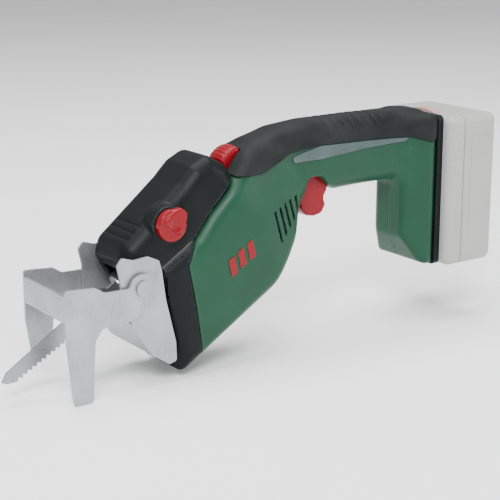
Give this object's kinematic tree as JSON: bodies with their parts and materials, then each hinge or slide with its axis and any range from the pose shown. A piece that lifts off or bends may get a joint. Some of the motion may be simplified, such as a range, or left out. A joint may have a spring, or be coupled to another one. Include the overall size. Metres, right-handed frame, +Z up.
{
  "type": "cordless pruning saw",
  "caption": "Cordless reciprocating pruning saw with a sloping barrel, steel branch bracket, open grip and slide-on battery.",
  "frame": {"origin": "on the stroke line where the blade leaves the nose, in the middle plane of the saw", "axes": "+X back along the level grip, +Y to the right of the saw, +Z up; the blade points towards -X and down"},
  "size_m": [0.4052, 0.078, 0.1672],
  "materials": {
    "housing_green": "satin",
    "housing_black": "satin",
    "soft_black": "matte",
    "grip_grey": "matte",
    "accent_red": "gloss",
    "shoe_steel": "polished",
    "blade_steel": "brushed",
    "drive_steel": "machined",
    "spring_steel": "satin",
    "sleeve_black": "satin",
    "bronze": "satin",
    "cast_alloy": "cast",
    "rotor_copper": "satin",
    "magnet": "matte",
    "board": "satin",
    "wire": "satin",
    "contact": "satin",
    "battery_grey": "satin",
    "button_rose": "satin",
    "cell": "satin",
    "window": "gloss"
  },
  "bodies": {
    "saw_body": {"housing_left": "housing_green", "housing_right": "housing_green", "front_collar": "housing_black", "nose_cover": "housing_black", "grip_cover": "soft_black", "grip_stripes": "grip_grey", "side_badges": "accent_red", "foot_plate": "shoe_steel", "bracket_pins": "shoe_steel", "bracket_washers": "shoe_steel", "rod_seal": "sleeve_black", "front_bush": "bronze", "rear_bush": "bronze", "gearbox_case": "cast_alloy", "gearbox_lid": "cast_alloy", "gearbox_screws": "drive_steel", "gear_axle": "drive_steel", "motor_can": "drive_steel", "motor_magnets": "magnet", "motor_end_cap": "sleeve_black", "motor_bearings": "drive_steel", "lever_spring": "spring_steel", "lock_off_spring": "spring_steel", "trigger_spring": "spring_steel", "switch_module": "sleeve_black", "control_board": "board", "wiring": "wire", "rail_plate": "housing_black", "terminal_block": "contact", "housing_screws": "drive_steel"},
    "bracket": {"branch_bracket": "shoe_steel"},
    "ram": {"plunger": "drive_steel", "scotch_yoke": "drive_steel", "blade_clamp": "drive_steel", "clamp_sleeve": "sleeve_black", "clamp_spring": "spring_steel", "saw_blade": "blade_steel"},
    "crank": {"crank_gear": "drive_steel"},
    "motor_rotor": {"rotor": "rotor_copper", "cooling_fan": "sleeve_black", "pinion": "drive_steel"},
    "blade_lever": {"release_lever": "accent_red"},
    "lock_off": {"lock_off_button": "accent_red"},
    "trigger_body": {"trigger": "accent_red"},
    "battery": {"battery_case_front": "battery_grey", "battery_case_rear": "battery_grey", "battery_cells": "cell", "cell_holder": "sleeve_black", "battery_contacts": "contact", "charge_window": "window", "button_spring": "spring_steel"},
    "battery_latch": {"battery_button": "button_rose"}
  },
  "joints": [
    {"name": "bracket_swing", "type": "hinge", "parent": "saw_body", "child": "bracket", "pos_m": [0.0018, 0, 0.00466], "axis": [0, 1, 0], "range_deg": [0, 35]},
    {"name": "blade_stroke", "type": "slide", "parent": "saw_body", "child": "ram", "axis": [0.848, 0, 0.5299], "range_m": [-0.01, 0.01]},
    {"name": "crank_spin", "type": "hinge", "parent": "saw_body", "child": "crank", "pos_m": [0.0441, 0, 0.02756], "axis": [-0.5299, 0, 0.848], "continuous": true},
    {"name": "rotor_spin", "type": "hinge", "parent": "saw_body", "child": "motor_rotor", "pos_m": [0.06996, 0, 0.00127], "axis": [0.848, 0, 0.5299], "continuous": true},
    {"name": "lever_turn", "type": "hinge", "parent": "saw_body", "child": "blade_lever", "pos_m": [0.02544, 0, 0.0442], "axis": [0, -1, 0], "range_deg": [0, 60], "stiffness_Nm_per_rad": 0.05},
    {"name": "lock_off_press", "type": "slide", "parent": "saw_body", "child": "lock_off", "axis": [0.5299, 0, -0.848], "range_m": [0, 0.004], "stiffness_N_per_m": 400},
    {"name": "trigger_pull", "type": "slide", "parent": "saw_body", "child": "trigger_body", "axis": [0, 0, 1], "range_m": [0, 0.006], "stiffness_N_per_m": 500},
    {"name": "battery_slide", "type": "slide", "parent": "saw_body", "child": "battery", "axis": [0, 0, 1], "range_m": [0, 0.09]},
    {"name": "battery_press", "type": "slide", "parent": "battery", "child": "battery_latch", "axis": [0, 0, -1], "range_m": [0, 0.003], "stiffness_N_per_m": 400}
  ],
  "couplings": [
    {"joint": "rotor_spin", "follows": "crank_spin", "ratio": -3.75}
  ]
}
